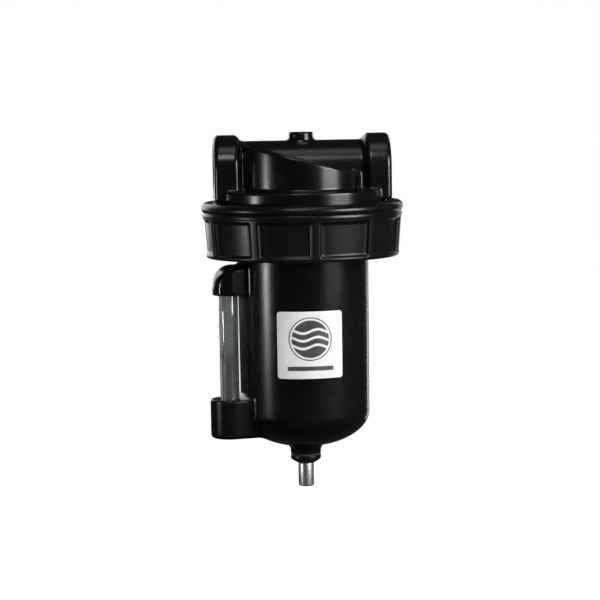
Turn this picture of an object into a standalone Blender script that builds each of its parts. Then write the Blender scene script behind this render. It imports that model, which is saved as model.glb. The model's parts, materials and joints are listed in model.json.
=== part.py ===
"""Compressed air filter with a threaded clamp ring, a metal bowl, a sight glass and a twist drain.

Run it with blender --background --python part.py, or from Blender's text editor.
Units are metres and +Z is up. The origin is where the port axis (X) crosses the bowl axis (Z).
Air comes in on the -X side and leaves on the +X side. The label and the sight glass face -Y.
"""

from math import acos, cos, pi, radians, sin, tan, tau

import bmesh
import bpy
from mathutils import Matrix

# Gaps between pieces
TOUCH_GAP = 0.0003  # between pieces that touch
SEAL_GAP = 0.0001  # round a seal in its groove
RING_GAP = 0.0007  # over the turning clamp ring

# Ports and the casting round them
PORT_SPAN = 0.1162  # face to face
PORT_BORE_RADIUS = 0.0155
PORT_DEPTH = 0.022
PORT_STEP = 0.0025  # from the port's bore to the passage behind it
BOSS_WALL = 0.0063  # round the port's bore
BOSS_LENGTH = 0.0168
BOSS_SHOULDER = 0.0028
BOSS_EDGE = 0.0036
DUCT_WALL = 0.0047  # round the passage
TOP_BOSS_RADIUS = 0.0082
TOP_BOSS_HEIGHT = 0.0054  # above the duct
TOP_BOSS_FILLET = 0.0022
CAST_WALL = 0.0042

# Drum under the ports, with a roof that slopes down towards the outlet
DRUM_INSET = 0.0132  # inside the thread
COLLAR_RISE = 0.0076  # how far the round collar under the drum stands above the clamp ring
ROOF_MIDDLE = 0.0055
ROOF_SLOPE = radians(14.5)
ROOF_ROUNDING = 0.0036

# Clamp ring and its thread
RING_TOP = -0.0223
RING_HEIGHT = 0.0364
BEAD_STEP = 0.0123  # from the thread's root to the outside of the bead
BEAD_HEIGHT = 0.0074
RIB_COUNT = 10
RIB_PHASE = radians(22.0)
RIB_HALF_ANGLE = radians(2.4)
RIB_FLANK_ANGLE = radians(1.0)
RIB_TOP_STEP = 0.0117
RIB_FOOT_STEP = 0.0094
POCKET_DEPTH = 0.0015
LIP_THICKNESS = 0.0063
THREAD_STEP = 0.0111  # from the bowl to the root of the thread on the head
THREAD_DEPTH = 0.0017
THREAD_PITCH = 0.00635
THREAD_TURNS = 2.0
THREAD_ROOT_WIDTH = 0.0030
THREAD_TIP_WIDTH = 0.0018
THREAD_CLEARANCE = 0.0005
THREAD_EMBED = 0.0006

# Bowl
BOWL_RADIUS = 0.0434
BOWL_DRAFT = radians(0.35)
BOWL_WALL = 0.0039
BOWL_STRAIGHT = 0.1033  # below the clamp ring
DOME_DEPTH = 0.0235
DOME_WALL = 0.0035
FLANGE_THICKNESS = 0.0060
FLANGE_EDGE_GAP = 0.0020  # from the bowl flange's edge to the ring's bore
ORING_STEP = 0.0046  # outside the bowl's wall
ORING_SECTION = 0.0024

# Sight glass on the side of the bowl
SIGHT_ANGLE = radians(196.0)
SIGHT_STEP = 0.0090  # from the bowl to the middle of the tube
TUBE_RADIUS = 0.0063
TUBE_WALL = 0.0018
TUBE_CLEARANCE = 0.0004
HOOD_WALL = 0.0042  # beside the socket
HOOD_HEIGHT = 0.0194
HOOD_GAP = 0.0043  # under the clamp ring
HOOD_ROUNDING = 0.0160
BLOCK_WALL = 0.0063  # beside the socket
BLOCK_RISE = 0.0111  # above the end of the bowl's straight wall
BLOCK_HEIGHT = 0.0258
BLOCK_ROUNDING = 0.0022
SOCKET_DEPTH = 0.0055
SIGHT_PASSAGE_RADIUS = 0.0025
SIGHT_SEAL_SECTION = 0.0014

# Label on the front of the bowl
LABEL_SIDE = 0.0437
LABEL_DROP = 0.0330  # below the clamp ring
LABEL_GAP = 0.00012
LABEL_ANGLE = radians(-88.4)
LABEL_THICKNESS = 0.00035
LABEL_CORNER = 0.0020

# Filter element and what holds it
ROD_RADIUS = 0.0030
OUTLET_TUBE_FOOT = -0.0340
LOUVER_INSET = 0.0035  # inside the drum
LOUVER_HEIGHT = 0.0135
LOUVER_HUB_STEP = 0.0043  # outside the outlet tube
LOUVER_RIM = 0.0014
VANE_COUNT = 16
VANE_THICKNESS = 0.0013
VANE_LEAN = radians(52.0)
ELEMENT_RADIUS = 0.0240
ELEMENT_WALL = 0.0060
ELEMENT_LENGTH = 0.0660
GASKET_THICKNESS = 0.0012
BAFFLE_RADIUS = 0.0335
BAFFLE_THICKNESS = 0.0018
BAFFLE_SKIRT = 0.0060
BAFFLE_RIBS = 8
NUT_FLAT_RADIUS = 0.0050
NUT_HEIGHT = 0.0052
WASHER_RADIUS = 0.0080
WASHER_THICKNESS = 0.0012

# Drain valve under the bowl
SEAT_HOLE_RADIUS = 0.0030
SEAT_RISE = 0.0092  # above the bottom of the dome
SEAT_THICKNESS = 0.0033
DRAIN_BOSS_WALL = 0.0032  # round the gland's thread
DRAIN_BOSS_DROP = 0.0048  # below the bottom of the dome
INNER_BOSS_WALL = 0.0035
GLAND_WALL = 0.0030  # round the shank
GLAND_HEIGHT = 0.0066
GLAND_CHAMFER = 0.0025
GLAND_REACH = 0.0045  # how far the gland goes up into the boss
DRAIN_WASHER_THICKNESS = 0.0010
STEM_STEP = 0.0012  # from the shank to the grip
STEM_LENGTH = 0.0158  # below the gland
STEM_CHAMFER = 0.0009
SHANK_RADIUS = 0.0040
SHANK_CLEARANCE = 0.00025
STEM_BORE_RADIUS = 0.0020
CROSS_HOLE_RADIUS = 0.0011
DRAIN_SEAL_LAP = 0.0016  # past the edge of the seat's hole
DRAIN_SEAL_THICKNESS = 0.0020
DRAIN_LIFT = 0.0025  # how far two turns lower the stem
STEM_SEAL_SECTION = 0.0011

# Facets round a circle
FINE = 48
MEDIUM = 32
COARSE = 24
SMALL = 16
SEAL_SIDES = 6

# Sizes and places that follow from those above
THREAD_RADIUS = BOWL_RADIUS + THREAD_STEP
DRUM_RADIUS = THREAD_RADIUS - DRUM_INSET
LOUVER_RADIUS = DRUM_RADIUS - LOUVER_INSET
PASSAGE_RADIUS = PORT_BORE_RADIUS - PORT_STEP
BOSS_RADIUS = PORT_BORE_RADIUS + BOSS_WALL
DUCT_RADIUS = PASSAGE_RADIUS + DUCT_WALL
TOP_BOSS_TOP = DUCT_RADIUS + TOP_BOSS_HEIGHT
BEAD_RADIUS = THREAD_RADIUS + BEAD_STEP
RIB_TOP_RADIUS = THREAD_RADIUS + RIB_TOP_STEP
RIB_FOOT_RADIUS = THREAD_RADIUS + RIB_FOOT_STEP
ORING_RADIUS = BOWL_RADIUS + ORING_STEP
SIGHT_OFFSET = BOWL_RADIUS + SIGHT_STEP
SOCKET_RADIUS = TUBE_RADIUS + TUBE_CLEARANCE
HOOD_RADIUS = SOCKET_RADIUS + HOOD_WALL
BLOCK_RADIUS = SOCKET_RADIUS + BLOCK_WALL
GLAND_BORE_RADIUS = SHANK_RADIUS + SHANK_CLEARANCE
GLAND_THREAD_RADIUS = SHANK_RADIUS + GLAND_WALL
DRAIN_BOSS_RADIUS = GLAND_THREAD_RADIUS + DRAIN_BOSS_WALL
INNER_BOSS_RADIUS = GLAND_THREAD_RADIUS + INNER_BOSS_WALL
GLAND_RADIUS = DRAIN_BOSS_RADIUS - SEAL_GAP
STEM_RADIUS = SHANK_RADIUS + STEM_STEP
DRAIN_SEAL_RADIUS = SEAT_HOLE_RADIUS + DRAIN_SEAL_LAP
RING_FOOT = RING_TOP - RING_HEIGHT
BOWL_STRAIGHT_END = RING_FOOT - BOWL_STRAIGHT
LIP_TOP = RING_FOOT + LIP_THICKNESS
FLANGE_FOOT = LIP_TOP + TOUCH_GAP
FLANGE_TOP = FLANGE_FOOT + FLANGE_THICKNESS
SKIRT_FOOT = FLANGE_TOP + TOUCH_GAP
RING_BORE_RADIUS = THREAD_RADIUS + THREAD_DEPTH + THREAD_CLEARANCE
CHAMBER_RADIUS = LOUVER_RADIUS + 2 * TOUCH_GAP
BOSS_FOOT = RING_TOP + RING_GAP
PORT_X = PORT_SPAN / 2
OUTLET_TUBE_RADIUS = PASSAGE_RADIUS + CAST_WALL
LOUVER_HUB_RADIUS = OUTLET_TUBE_RADIUS + LOUVER_HUB_STEP
DOME_FOOT = BOWL_STRAIGHT_END - DOME_DEPTH
BOWL_END_RADIUS = BOWL_RADIUS - BOWL_STRAIGHT * tan(BOWL_DRAFT)
BLOCK_TOP = BOWL_STRAIGHT_END + BLOCK_RISE
BLOCK_FOOT = BLOCK_TOP - BLOCK_HEIGHT
HOOD_TOP = RING_FOOT - HOOD_GAP
HOOD_FOOT = HOOD_TOP - HOOD_HEIGHT
LABEL_TOP = RING_FOOT - LABEL_DROP
SEAT_TOP = DOME_FOOT + SEAT_RISE
SEAT_FOOT = SEAT_TOP - SEAT_THICKNESS
DRAIN_BOSS_FOOT = DOME_FOOT - DRAIN_BOSS_DROP
GLAND_TOP = DRAIN_BOSS_FOOT + GLAND_REACH
GLAND_FOOT = DRAIN_BOSS_FOOT - GLAND_HEIGHT
STEM_FOOT = GLAND_FOOT - STEM_LENGTH

COLOURS = {
    "black_paint": ((0.012, 0.012, 0.013), 0.28, 0.0),
    "black_nylon": ((0.015, 0.015, 0.016), 0.45, 0.0),
    "white_plastic": ((0.75, 0.76, 0.74), 0.40, 0.0),
    "white_element": ((0.82, 0.81, 0.76), 0.90, 0.0),
    "rubber": ((0.020, 0.020, 0.020), 0.75, 0.0),
    "fibre": ((0.035, 0.033, 0.030), 0.80, 0.0),
    "steel": ((0.60, 0.60, 0.60), 0.30, 1.0),
    "nickel": ((0.66, 0.65, 0.62), 0.25, 1.0),
    "glass": ((0.62, 0.66, 0.66), 0.08, 0.0),
    "label": ((0.72, 0.72, 0.72), 0.40, 0.0),
}


def clear_scene():
    for obj in list(bpy.data.objects):
        bpy.data.objects.remove(obj, do_unlink=True)


def material(name):
    found = bpy.data.materials.get(name)
    if found:
        return found
    colour, roughness, metallic = COLOURS[name]
    made = bpy.data.materials.new(name)
    made.use_nodes = True
    shader = made.node_tree.nodes["Principled BSDF"]
    shader.inputs["Base Color"].default_value = (*colour, 1.0)
    shader.inputs["Roughness"].default_value = roughness
    shader.inputs["Metallic"].default_value = metallic
    return made


def add_object(name, mesh):
    obj = bpy.data.objects.new(name, mesh)
    bpy.context.scene.collection.objects.link(obj)
    return obj


def solid(name, vertices, faces):
    """A closed solid with its faces pointing out."""
    mesh = bpy.data.meshes.new(name)
    mesh.from_pydata(vertices, [], faces)
    work = bmesh.new()
    work.from_mesh(mesh)
    bmesh.ops.recalc_face_normals(work, faces=work.faces)
    work.to_mesh(mesh)
    work.free()
    return add_object(name, mesh)


def sweep(name, sections):
    """Joins equal closed sections, each a list of points, into a solid with flat ends."""
    count = len(sections[0])
    vertices = [point for section in sections for point in section]
    faces = [list(range(count)), list(range(len(vertices) - count, len(vertices)))]
    for s in range(len(sections) - 1):
        for k in range(count):
            a = s * count + k
            b = s * count + (k + 1) % count
            faces.append([a, b, b + count, a + count])
    return solid(name, vertices, faces)


def stations(count, phase=0.0):
    return [phase + tau * i / count for i in range(count)]


def revolve(name, profile, count, centre=(0.0, 0.0), phase=0.0):
    """Turns a closed (radius, z) outline about a vertical line. Radius 0 is a point on the line."""
    vertices, rows, faces = [], [], []
    for radius, z in profile:
        start = len(vertices)
        if radius == 0.0:
            vertices.append((*centre, z))
            rows.append([start] * count)
            continue
        for angle in stations(count, phase):
            vertices.append((centre[0] + radius * cos(angle), centre[1] + radius * sin(angle), z))
        rows.append(list(range(start, start + count)))
    for row, following in zip(rows, rows[1:] + rows[:1]):
        for i in range(count):
            j = (i + 1) % count
            corners = list(dict.fromkeys((row[i], row[j], following[j], following[i])))
            if len(corners) > 2:
                faces.append(corners)
    return solid(name, vertices, faces)


def torus(name, ring_radius, section, z, count, centre=(0.0, 0.0)):
    half = section / 2
    turns = stations(SEAL_SIDES, pi / SEAL_SIDES)
    return revolve(name, [(ring_radius + half * cos(a), z + half * sin(a)) for a in turns], count, centre)


def cylinder(name, radius, bottom, top, count, centre=(0.0, 0.0)):
    return revolve(name, [(0.0, bottom), (radius, bottom), (radius, top), (0.0, top)], count, centre)


def along_x(obj):
    """Turns a solid made about Z so that it lies about X, its top towards +X."""
    obj.data.transform(Matrix.Rotation(pi / 2, 4, "Y"))
    return obj


def placed(obj, matrix):
    obj.data.transform(matrix)
    return obj


def split_large_faces(obj):
    work = bmesh.new()
    work.from_mesh(obj.data)
    bmesh.ops.triangulate(work, faces=[face for face in work.faces if len(face.verts) > 4])
    work.to_mesh(obj.data)
    work.free()


def weld(obj):
    """Merges corners that a cut leaves a micron apart."""
    work = bmesh.new()
    work.from_mesh(obj.data)
    bmesh.ops.remove_doubles(work, verts=work.verts, dist=0.000003)
    bmesh.ops.dissolve_degenerate(work, edges=work.edges, dist=0.000003)
    work.to_mesh(obj.data)
    work.free()


def boolean(obj, tool, operation):
    split_large_faces(obj)
    split_large_faces(tool)
    modifier = obj.modifiers.new(operation, "BOOLEAN")
    modifier.operation = operation
    modifier.solver = "EXACT"
    modifier.object = tool
    bpy.context.view_layer.update()
    graph = bpy.context.evaluated_depsgraph_get()
    result = bpy.data.meshes.new_from_object(obj.evaluated_get(graph))
    obj.modifiers.clear()
    obj.data = result
    bpy.data.objects.remove(tool, do_unlink=True)
    weld(obj)
    return obj


def join(obj, *others):
    for other in others:
        boolean(obj, other, "UNION")
    return obj


def cut(obj, *cutters):
    for cutter in cutters:
        boolean(obj, cutter, "DIFFERENCE")
    return obj


def keep_common(obj, other):
    return boolean(obj, other, "INTERSECT")


def finish(obj, name, material_name, smooth_angle=radians(35)):
    obj.name = name
    obj.data.name = name
    obj.data.materials.clear()
    obj.data.materials.append(material(material_name))
    obj.data.shade_smooth()
    obj.data.set_sharp_from_angle(angle=smooth_angle)
    return obj


def helical_ridge(name, wall_radius, height, foot, inward=False):
    """A thread ridge. It grows out of the wall at one end and sinks back into it at the other."""
    steps_per_turn = 36
    fade_steps = 4
    steps = round(THREAD_TURNS * steps_per_turn)
    side = -1.0 if inward else 1.0
    root = wall_radius - side * THREAD_EMBED
    sections = []
    for i in range(steps + 1):
        angle = tau * i / steps_per_turn
        z = foot + THREAD_PITCH * i / steps_per_turn
        shown = min(1.0, i / fade_steps, (steps - i) / fade_steps)
        tip = wall_radius + side * (height * shown - THREAD_EMBED / 2 * (1 - shown))
        section = []
        for radius, offset in (
            (root, -THREAD_ROOT_WIDTH / 2),
            (tip, -THREAD_TIP_WIDTH / 2),
            (tip, THREAD_TIP_WIDTH / 2),
            (root, THREAD_ROOT_WIDTH / 2),
        ):
            section.append((radius * cos(angle), radius * sin(angle), z + offset))
        sections.append(section)
    return sweep(name, sections)


def roof_height(x, drop=0.0):
    return ROOF_MIDDLE - x * tan(ROOF_SLOPE) - drop


def sloping_drum(name, radius, bottom, drop, rounding, count=FINE):
    """A round drum whose flat roof slopes down towards +X."""
    lower = [(radius * cos(a), radius * sin(a), bottom) for a in stations(count)]
    upper = [(x, y, roof_height(x, drop)) for x, y, _ in lower]
    drum = sweep(name, [lower, upper])
    if rounding:
        work = bmesh.new()
        work.from_mesh(drum.data)
        roof = max(work.faces, key=lambda face: face.calc_center_median().z)
        bmesh.ops.bevel(
            work,
            geom=list(roof.edges),
            offset=rounding,
            offset_type="OFFSET",
            segments=3,
            profile=0.5,
            affect="EDGES",
        )
        work.to_mesh(drum.data)
        work.free()
    return drum


def arch(radius, foot, x, count):
    """A round-topped outline about the port axis, straight-sided down to foot, at one x."""
    top = [(x, radius * cos(pi * i / count), radius * sin(pi * i / count)) for i in range(count + 1)]
    return [(x, radius, foot), *top, (x, -radius, foot)]


def port_boss(side):
    """The arch-shaped boss round one port, with a rounded outer edge and a sloping shoulder."""
    count = 14
    face = side * PORT_X
    inner = side * (PORT_X - BOSS_LENGTH)
    shoulder = side * (PORT_X - BOSS_LENGTH - BOSS_SHOULDER)
    edge_steps = 3
    sections = []
    for i in range(edge_steps + 1):
        turn = pi / 2 * i / edge_steps
        inset = BOSS_EDGE * (1 - sin(turn))
        depth = BOSS_EDGE * (1 - cos(turn))
        sections.append(arch(BOSS_RADIUS - inset, BOSS_FOOT + inset, face - side * depth, count))
    sections.append(arch(BOSS_RADIUS, BOSS_FOOT, inner, count))
    sections.append(arch(DUCT_RADIUS - TOUCH_GAP, BOSS_FOOT, shoulder, count))
    return sweep("boss", sections)


def box(name, xs, ys, zs):
    lower = [(xs[0], ys[0], zs[0]), (xs[1], ys[0], zs[0]), (xs[1], ys[1], zs[0]), (xs[0], ys[1], zs[0])]
    upper = [(x, y, zs[1]) for x, y, _ in lower]
    return sweep(name, [lower, upper])


def top_boss():
    """The round boss that backs the tie rod's blind thread."""
    steps = 3
    foot = 0.0
    outline = [(0.0, foot), (TOP_BOSS_RADIUS + TOP_BOSS_FILLET, foot)]
    for i in range(steps + 1):
        turn = pi / 2 * i / steps
        outline.append(
            (
                TOP_BOSS_RADIUS + TOP_BOSS_FILLET * (1 - sin(turn)),
                DUCT_RADIUS - 0.0006 + TOP_BOSS_FILLET * (1 - cos(turn)),
            )
        )
    outline += [
        (TOP_BOSS_RADIUS - 0.0004, TOP_BOSS_TOP - 0.0010),
        (TOP_BOSS_RADIUS - 0.0014, TOP_BOSS_TOP),
        (0.0, TOP_BOSS_TOP),
    ]
    return revolve("top_boss", outline, COARSE)


def air_chamber():
    """The ring-shaped space round the outlet tube, open below, as a cutter."""
    chamber = sloping_drum("chamber", CHAMBER_RADIUS, SKIRT_FOOT - 0.002, CAST_WALL, 0.0)
    tube = cylinder("tube", OUTLET_TUBE_RADIUS, OUTLET_TUBE_FOOT, 0.030, MEDIUM)
    duct = along_x(cylinder("duct", OUTLET_TUBE_RADIUS - 0.0003, 0.0, PORT_X, FINE - 8))
    return cut(chamber, join(tube, duct))


def make_head():
    skirt_chamfer = 0.0012
    collar_top = RING_TOP + COLLAR_RISE
    head = revolve(
        "head",
        [
            (0.0, SKIRT_FOOT),
            (THREAD_RADIUS - skirt_chamfer, SKIRT_FOOT),
            (THREAD_RADIUS, SKIRT_FOOT + skirt_chamfer),
            (THREAD_RADIUS, collar_top - skirt_chamfer),
            (THREAD_RADIUS - skirt_chamfer, collar_top),
            (0.0, collar_top),
        ],
        FINE,
    )
    drum = sloping_drum("drum", DRUM_RADIUS, SKIRT_FOOT + 0.004, 0.0, ROOF_ROUNDING)
    duct_ends = [PORT_X - BOSS_LENGTH, BOSS_LENGTH - PORT_X]
    duct = sweep("duct", [arch(DUCT_RADIUS, SKIRT_FOOT + 0.006, x, 17) for x in duct_ends])
    thread_foot = SKIRT_FOOT + THREAD_ROOT_WIDTH
    join(head, drum, duct, port_boss(-1), port_boss(1), top_boss())
    join(head, helical_ridge("thread", THREAD_RADIUS, THREAD_DEPTH, thread_foot))
    cut(head, air_chamber())
    elbow_top = PASSAGE_RADIUS - 0.003
    inlet_end = OUTLET_TUBE_RADIUS + 0.0015
    inlet = along_x(cylinder("inlet", PASSAGE_RADIUS, -PORT_X - 0.001, -inlet_end, MEDIUM))
    outlet = along_x(cylinder("outlet", PASSAGE_RADIUS, 0.0, PORT_X + 0.001, MEDIUM))
    drop = cylinder("drop", PASSAGE_RADIUS - 0.0001, OUTLET_TUBE_FOOT - 0.001, elbow_top, MEDIUM)
    rod_hole = cylinder("rod_hole", ROD_RADIUS + SEAL_GAP, 0.0, TOP_BOSS_TOP - 0.004, SMALL)
    cut(head, join(outlet, drop), inlet, rod_hole)
    for side in (-1, 1):
        ends = sorted((side * (PORT_X - PORT_DEPTH), side * (PORT_X + 0.001)))
        cut(head, along_x(cylinder("port", PORT_BORE_RADIUS, *ends, MEDIUM)))
    return finish(head, "head_body", "black_paint")


def ring_outline(on_rib):
    """The clamp ring's outer outline, from the top bead down, in (radius, z) points."""
    bead_foot = RING_TOP - BEAD_HEIGHT
    depth = 0.0 if on_rib else POCKET_DEPTH
    edge = 0.0010 if on_rib else 0.0032
    slope = (RIB_TOP_RADIUS - RIB_FOOT_RADIUS) / (RING_HEIGHT - BEAD_HEIGHT)
    bead = []
    bead_round = BEAD_HEIGHT / 2
    for i in range(6):
        turn = pi / 2 - (pi / 2 + radians(35)) * i / 5
        bead.append((BEAD_RADIUS - bead_round * (1 - cos(turn)), RING_TOP - bead_round * (1 - sin(turn))))
    foot_radius = RIB_FOOT_RADIUS - depth
    return [
        *bead,
        (RIB_TOP_RADIUS - depth, bead_foot),
        (foot_radius + slope * edge, RING_FOOT + edge),
        (foot_radius - 0.55 * edge, RING_FOOT),
    ]


def make_clamp_ring():
    flank = RIB_HALF_ANGLE + RIB_FLANK_ANGLE
    pitch = tau / RIB_COUNT
    pocket = pitch - 2 * flank
    offsets = [
        (-flank, False),
        (-RIB_HALF_ANGLE, True),
        (RIB_HALF_ANGLE, True),
        (flank, False),
        (flank + pocket / 3, False),
        (flank + pocket * 2 / 3, False),
    ]
    lip_radius = BOWL_RADIUS + 0.0012
    chamfer = 0.0012
    inner = [
        (lip_radius + chamfer, RING_FOOT),
        (lip_radius, RING_FOOT + chamfer),
        (lip_radius, LIP_TOP),
        (RING_BORE_RADIUS, LIP_TOP),
        (RING_BORE_RADIUS, RING_TOP - chamfer),
        (RING_BORE_RADIUS + chamfer, RING_TOP),
    ]
    sections = []
    for k in range(RIB_COUNT):
        for offset, on_rib in offsets:
            angle = RIB_PHASE + k * pitch + offset
            outline = ring_outline(on_rib) + inner
            sections.append([(radius * cos(angle), radius * sin(angle), z) for radius, z in outline])
    count = len(sections[0])
    vertices = [point for section in sections for point in section]
    faces = []
    for s in range(len(sections)):
        t = (s + 1) % len(sections)
        for k in range(count):
            m = (k + 1) % count
            faces.append([s * count + k, s * count + m, t * count + m, t * count + k])
    ring = solid("ring", vertices, faces)
    # Half a pitch above the head's thread, so that the two ridges run between each other.
    thread_foot = SKIRT_FOOT + THREAD_ROOT_WIDTH + THREAD_PITCH / 2
    height = THREAD_DEPTH - THREAD_CLEARANCE / 5
    join(ring, helical_ridge("thread", RING_BORE_RADIUS, height, thread_foot, inward=True))
    return finish(ring, "clamp_ring", "black_nylon")


def ellipse_arc(radius, depth, level, start, end, steps):
    """Points on a dome's outline, from one angle to another below its rim."""
    turns = [start + (end - start) * i / steps for i in range(steps + 1)]
    return [(radius * cos(turn), level - depth * sin(turn)) for turn in turns]


def bowl_outline():
    """The bowl's outline: down the outside, then up the drain's thread, the seat and the inside."""
    flange_radius = RING_BORE_RADIUS - FLANGE_EDGE_GAP - THREAD_DEPTH
    chamfer = 0.0008
    outer_angle = acos((DRAIN_BOSS_RADIUS + 0.0016) / BOWL_END_RADIUS)
    boss_start = BOWL_STRAIGHT_END - DOME_DEPTH * sin(outer_angle)
    inner = BOWL_RADIUS - BOWL_WALL
    inner_end = BOWL_END_RADIUS - BOWL_WALL
    inner_depth = DOME_DEPTH - DOME_WALL
    inner_angle = acos(INNER_BOSS_RADIUS / inner_end)
    gland_cavity = GLAND_THREAD_RADIUS + SEAL_GAP
    half = ORING_SECTION / 2 + SEAL_GAP
    groove_floor = FLANGE_TOP - ORING_SECTION + TOUCH_GAP - SEAL_GAP
    return [
        (ORING_RADIUS + half, FLANGE_TOP),
        (flange_radius - chamfer, FLANGE_TOP),
        (flange_radius, FLANGE_TOP - chamfer),
        (flange_radius, FLANGE_FOOT + chamfer),
        (flange_radius - chamfer, FLANGE_FOOT),
        (BOWL_RADIUS, FLANGE_FOOT),
        (BOWL_RADIUS, RING_FOOT),
        *ellipse_arc(BOWL_END_RADIUS, DOME_DEPTH, BOWL_STRAIGHT_END, 0.0, outer_angle, 7),
        (DRAIN_BOSS_RADIUS, boss_start - 0.0016),
        (DRAIN_BOSS_RADIUS, DRAIN_BOSS_FOOT),
        (gland_cavity, DRAIN_BOSS_FOOT),
        (gland_cavity, SEAT_FOOT),
        (SEAT_HOLE_RADIUS, SEAT_FOOT),
        (SEAT_HOLE_RADIUS, SEAT_TOP),
        (INNER_BOSS_RADIUS - 0.001, SEAT_TOP),
        *ellipse_arc(inner_end, inner_depth, BOWL_STRAIGHT_END, inner_angle, 0.0, 5),
        (inner, RING_FOOT),
        (inner, FLANGE_TOP),
        (ORING_RADIUS - half, FLANGE_TOP),
        (ORING_RADIUS - half, groove_floor),
        (ORING_RADIUS + half, groove_floor),
    ]


def wall_core():
    """What lies inside the middle of the bowl's wall, as a cutter for the parts cast onto the wall."""
    inset = DOME_WALL / 2
    side = BOWL_RADIUS - inset
    side_end = BOWL_END_RADIUS - inset
    dome = ellipse_arc(side_end, DOME_DEPTH - inset, BOWL_STRAIGHT_END, 0.0, pi / 2, 7)[:-1]
    foot = BOWL_STRAIGHT_END - DOME_DEPTH + inset
    top = FLANGE_TOP
    return revolve("core", [(0.0, top), (side, top), (side, RING_FOOT), *dome, (0.0, foot)], FINE)


def sight_outline(radius, z, reach=0.030, count=12):
    """A round-nosed outline at one height, in the sight glass's own frame: +X leads away from the bowl."""
    turns = [pi * i / count - pi / 2 for i in range(count + 1)]
    nose = [(SIGHT_OFFSET + radius * cos(a), radius * sin(a), z) for a in turns]
    return [(reach, -radius, z), *nose, (reach, radius, z)]


def sight_frame():
    return Matrix.Rotation(SIGHT_ANGLE, 4, "Z")


def make_hood():
    """The rounded cap over the sight glass."""
    hood = sweep("hood", [sight_outline(HOOD_RADIUS, z) for z in (HOOD_FOOT, HOOD_TOP)])
    outer = SIGHT_OFFSET + HOOD_RADIUS + 0.0001
    steps = 8
    side = [(0.030, HOOD_FOOT - 0.001), (outer, HOOD_FOOT - 0.001)]
    for i in range(steps + 1):
        turn = pi / 2 * i / steps
        level = HOOD_TOP - 0.0001 - HOOD_ROUNDING * (1 - sin(turn))
        side.append((outer - HOOD_ROUNDING * (1 - cos(turn)), level))
    side.append((0.030, HOOD_TOP - 0.0001))
    width = HOOD_RADIUS + 0.001
    shape = sweep("shape", [[(x, y, z) for x, z in side] for y in (-width, width)])
    return placed(keep_common(hood, shape), sight_frame())


def make_block():
    """The block that the sight glass stands in, with a rounded lower edge."""
    inset = BLOCK_ROUNDING * 0.35
    heights = [
        (BLOCK_RADIUS - BLOCK_ROUNDING, BLOCK_FOOT),
        (BLOCK_RADIUS - inset, BLOCK_FOOT + inset),
        (BLOCK_RADIUS, BLOCK_FOOT + BLOCK_ROUNDING),
        (BLOCK_RADIUS, BLOCK_TOP - 0.0008),
        (BLOCK_RADIUS - 0.0008, BLOCK_TOP),
    ]
    return placed(sweep("block", [sight_outline(radius, z) for radius, z in heights]), sight_frame())


def sight_centre():
    return (SIGHT_OFFSET * cos(SIGHT_ANGLE), SIGHT_OFFSET * sin(SIGHT_ANGLE))


def tube_foot():
    return BLOCK_TOP - SOCKET_DEPTH + TOUCH_GAP


def tube_top():
    # The tube lifts clear of the block by rising in the hood's deeper socket.
    return socket_roof() - SOCKET_DEPTH - TOUCH_GAP


def socket_roof():
    return HOOD_TOP - 0.0080


def seal_levels():
    return {"sight_seal_top": HOOD_FOOT + 0.0038, "sight_seal_bottom": BLOCK_TOP - 0.0032}


def sight_cutters():
    """The two sockets with their seal grooves, and the passages that keep the water level with the bowl's."""
    centre = sight_centre()
    socket = SOCKET_RADIUS
    groove = TUBE_RADIUS + SIGHT_SEAL_SECTION + 2 * SEAL_GAP
    half = SIGHT_SEAL_SECTION / 2 + SEAL_GAP
    floor = BLOCK_TOP - SOCKET_DEPTH
    well = TUBE_RADIUS - TUBE_WALL
    well_foot = floor - 0.0060
    high, low = seal_levels().values()
    upper = [
        (0.0, HOOD_FOOT - 0.001),
        (socket, HOOD_FOOT - 0.001),
        (socket, high - half),
        (groove, high - half),
        (groove, high + half),
        (socket, high + half),
        (socket, socket_roof()),
        (0.0, socket_roof()),
    ]
    lower = [
        (0.0, well_foot),
        (well, well_foot),
        (well, floor),
        (socket, floor),
        (socket, low - half),
        (groove, low - half),
        (groove, low + half),
        (socket, low + half),
        (socket, BLOCK_TOP + 0.001),
        (0.0, BLOCK_TOP + 0.001),
    ]
    cutters = [revolve("socket", outline, COARSE, centre, 0.013) for outline in (upper, lower)]
    start = BOWL_RADIUS - 1.6 * BOWL_WALL
    for level in (socket_roof() - SIGHT_PASSAGE_RADIUS - 0.0004, well_foot + SIGHT_PASSAGE_RADIUS + 0.0006):
        passage = along_x(cylinder("passage", SIGHT_PASSAGE_RADIUS, start, SIGHT_OFFSET, SMALL))
        cutters.append(placed(passage, sight_frame() @ Matrix.Translation((0.0, 0.0, level))))
    return cutters


def make_bowl():
    bowl = revolve("bowl", bowl_outline(), FINE)
    join(bowl, cut(make_hood(), wall_core()), cut(make_block(), wall_core()))
    cut(bowl, *sight_cutters())
    return finish(bowl, "bowl", "black_paint")


def make_bowl_seal():
    level = SKIRT_FOOT - SEAL_GAP - ORING_SECTION / 2
    return finish(torus("seal", ORING_RADIUS, ORING_SECTION, level, FINE), "bowl_oring", "rubber")


def make_sight_glass():
    centre = sight_centre()
    inner = TUBE_RADIUS - TUBE_WALL
    foot, top = tube_foot(), tube_top()
    outline = [(inner, foot), (TUBE_RADIUS, foot), (TUBE_RADIUS, top), (inner, top)]
    finish(revolve("tube", outline, COARSE, centre), "sight_tube", "glass")
    for name, level in seal_levels().items():
        ring_radius = TUBE_RADIUS + SEAL_GAP + SIGHT_SEAL_SECTION / 2
        finish(torus(name, ring_radius, SIGHT_SEAL_SECTION, level, COARSE, centre), name, "rubber")


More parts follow.
